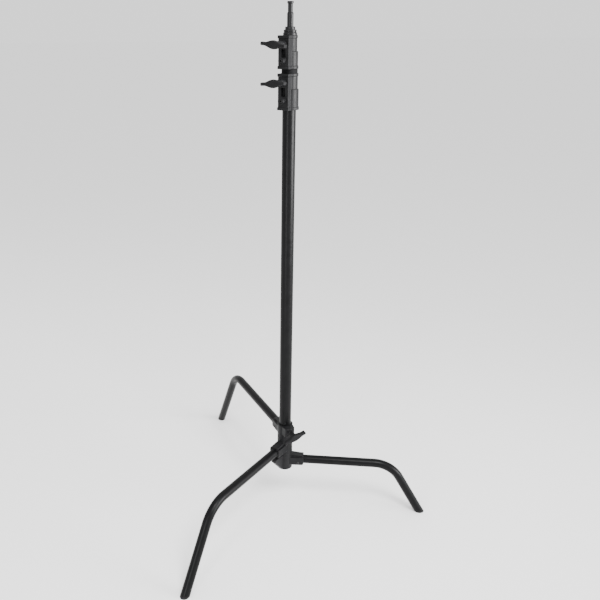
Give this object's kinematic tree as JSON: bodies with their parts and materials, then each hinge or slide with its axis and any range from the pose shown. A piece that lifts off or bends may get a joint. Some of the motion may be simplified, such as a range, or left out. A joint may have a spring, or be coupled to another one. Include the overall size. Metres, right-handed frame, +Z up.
{
  "type": "c stand",
  "caption": "Black studio C-stand: bent legs that swivel on a central sleeve, a lift-out column, sliding risers in cast collars with T-handles, and a baby pin on top.",
  "frame": {"origin": "on the floor, on the column's axis", "axes": "+Z up along the column towards the baby pin, +X along the low leg; the high leg lies 120 degrees and the middle leg 240 degrees round from it"},
  "size_m": [0.7011, 0.8892, 1.455],
  "materials": {
    "tube_black": "semi-gloss black powder coat on steel tube",
    "cast_black": "satin black coat on die-cast aluminium",
    "handle_black": "matt black coat on die-cast aluminium",
    "foot_plastic": "matt black moulded plastic",
    "rubber_black": "matt black rubber",
    "turned_steel": "turned steel",
    "turned_black": "turned steel with a black finish",
    "bearing_plastic": "black acetal",
    "plain_steel": "zinc-plated steel",
    "black_oxide": "black oxide on steel"
  },
  "bodies": {
    "base": {"leg_socket_high": "cast_black", "leg_tube_high": "tube_black", "foot_plug_high": "foot_plastic", "leg_rivets_high": "black_oxide", "hub_sleeve": "turned_steel", "thrust_washer_upper": "bearing_plastic", "thrust_washer_lower": "bearing_plastic", "retaining_ring": "plain_steel", "wave_spring": "plain_steel", "hub_cap": "bearing_plastic"},
    "leg_middle": {"leg_socket_middle": "cast_black", "leg_tube_middle": "tube_black", "foot_plug_middle": "foot_plastic", "leg_rivets_middle": "black_oxide"},
    "leg_low": {"leg_socket_low": "cast_black", "leg_tube_low": "tube_black", "foot_plug_low": "foot_plastic", "leg_rivets_low": "black_oxide"},
    "base_handle": {"handle_base": "handle_black", "handle_base_screw": "black_oxide", "handle_base_washer": "black_oxide"},
    "column": {"column_tube": "tube_black", "column_stud": "turned_steel", "column_stud_pin": "black_oxide", "collar_lower": "cast_black", "collar_lower_bush": "bearing_plastic", "collar_lower_screw": "black_oxide", "bumper_ring": "rubber_black"},
    "riser_middle_slider": {"riser_middle_guide": "bearing_plastic"},
    "riser_middle": {"riser_middle_tube": "tube_black", "collar_upper": "cast_black", "collar_upper_bush": "bearing_plastic", "collar_upper_screw": "black_oxide"},
    "riser_top_slider": {"riser_top_guide": "bearing_plastic"},
    "riser_top": {"riser_top_tube": "tube_black", "riser_top_cap": "turned_black", "spigot": "turned_black"},
    "lower_handle": {"handle_lower": "handle_black", "handle_lower_screw": "black_oxide", "handle_lower_washer": "black_oxide"},
    "upper_handle": {"handle_upper": "handle_black", "handle_upper_screw": "black_oxide", "handle_upper_washer": "black_oxide"}
  },
  "joints": [
    {"name": "leg_middle_swivel", "type": "hinge", "parent": "base", "child": "leg_middle", "pos_m": [0, 0, 0.208], "axis": [0, 0, 1], "range_deg": [-120, 0]},
    {"name": "leg_low_swivel", "type": "hinge", "parent": "base", "child": "leg_low", "pos_m": [0, 0, 0.16], "axis": [0, 0, 1], "range_deg": [0, 120]},
    {"name": "base_handle_turn", "type": "hinge", "parent": "base", "child": "base_handle", "pos_m": [0, 0, 0.2675], "axis": [0.5, -0.866, 0], "range_deg": [0, 360]},
    {"name": "column_lift", "type": "slide", "parent": "base", "child": "column", "axis": [0, 0, 1], "range_m": [0, 0.09]},
    {"name": "riser_middle_slide", "type": "slide", "parent": "column", "child": "riser_middle_slider", "axis": [0, 0, 1], "range_m": [0, 0.92]},
    {"name": "riser_middle_swivel", "type": "hinge", "parent": "riser_middle_slider", "child": "riser_middle", "pos_m": [0, 0, 0.3], "axis": [0, 0, 1], "continuous": true},
    {"name": "riser_top_slide", "type": "slide", "parent": "riser_middle", "child": "riser_top_slider", "axis": [0, 0, 1], "range_m": [0, 0.963]},
    {"name": "riser_top_swivel", "type": "hinge", "parent": "riser_top_slider", "child": "riser_top", "pos_m": [0, 0, 0.35], "axis": [0, 0, 1], "continuous": true},
    {"name": "lower_handle_turn", "type": "hinge", "parent": "column", "child": "lower_handle", "pos_m": [0, 0, 1.266], "axis": [-0.5, -0.866, 0], "range_deg": [0, 360]},
    {"name": "upper_handle_turn", "type": "hinge", "parent": "riser_middle", "child": "upper_handle", "pos_m": [0, 0, 1.3563], "axis": [-0.5, -0.866, 0], "range_deg": [0, 360]}
  ]
}
